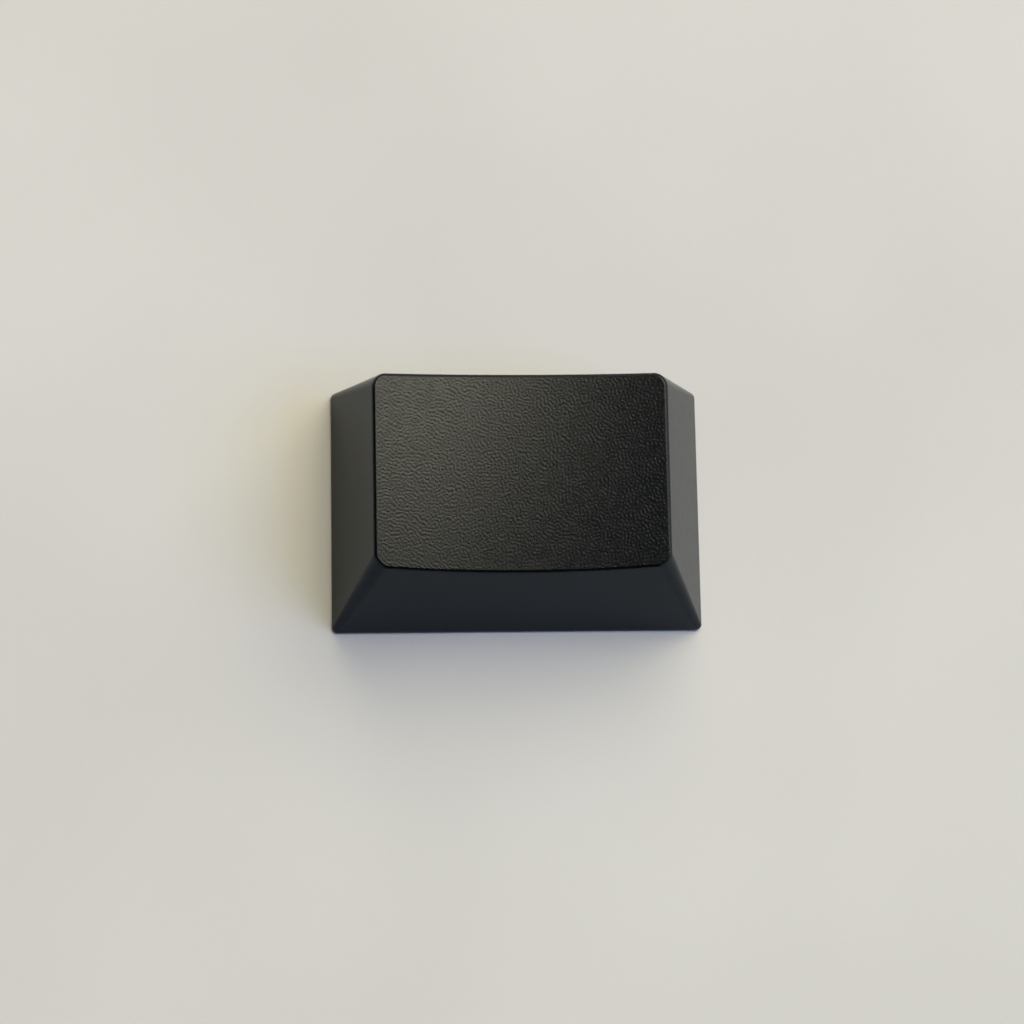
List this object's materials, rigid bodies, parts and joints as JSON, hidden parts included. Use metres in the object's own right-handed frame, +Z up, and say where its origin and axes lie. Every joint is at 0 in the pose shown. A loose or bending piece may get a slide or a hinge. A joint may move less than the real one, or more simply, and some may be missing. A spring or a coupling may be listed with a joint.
{
  "type": "metal keycap",
  "caption": "Satin black metal keycap, one and a half units wide, with drafted walls, a shallow dished grained top, and a hollow underside with a cross-socket stem.",
  "frame": {"origin": "middle of the base, on the stem's axis, in the plane of the bottom rim", "axes": "+Z up through the dished top, +X along the key's width to the right, +Y towards the back of the keyboard; the long sloping front wall faces -Y"},
  "size_m": [0.0276, 0.0182, 0.0075],
  "materials": {
    "black_coat": "satin"
  },
  "bodies": {
    "root": {"keycap": "black_coat"}
  },
  "joints": []
}
